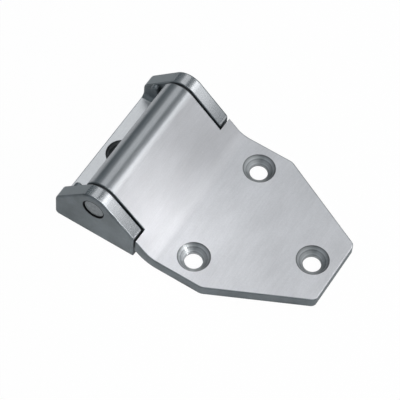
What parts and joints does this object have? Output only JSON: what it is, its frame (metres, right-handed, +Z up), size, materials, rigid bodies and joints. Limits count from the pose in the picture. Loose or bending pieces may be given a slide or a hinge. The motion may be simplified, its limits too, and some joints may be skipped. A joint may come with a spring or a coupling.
{
  "type": "heavy-duty hinge",
  "caption": "Heavy-duty cast steel hinge: a low bracket with two cheeks holds a pin, on which a cranked leaf with countersunk holes swings.",
  "frame": {"origin": "on the bracket's mounting face, directly under the middle of the pin", "axes": "+X from the pin to the tip of the closed leaf, +Y along the pin, +Z up out of the mounting plane"},
  "size_m": [0.1049, 0.0686, 0.0253],
  "materials": {
    "satin_steel": "satin",
    "pin_steel": "turned",
    "bush_bronze": "turned",
    "washer_plastic": "matte"
  },
  "bodies": {
    "bracket": {"base_bracket": "satin_steel", "hinge_pin": "pin_steel", "thrust_washer_front": "washer_plastic", "thrust_washer_rear": "washer_plastic"},
    "leaf": {"door_leaf": "satin_steel", "bush_front": "bush_bronze", "bush_rear": "bush_bronze"}
  },
  "joints": [
    {"name": "leaf_swing", "type": "hinge", "parent": "bracket", "child": "leaf", "pos_m": [0, 0, 0.0175], "axis": [0, -1, 0], "range_deg": [0, 180]}
  ]
}
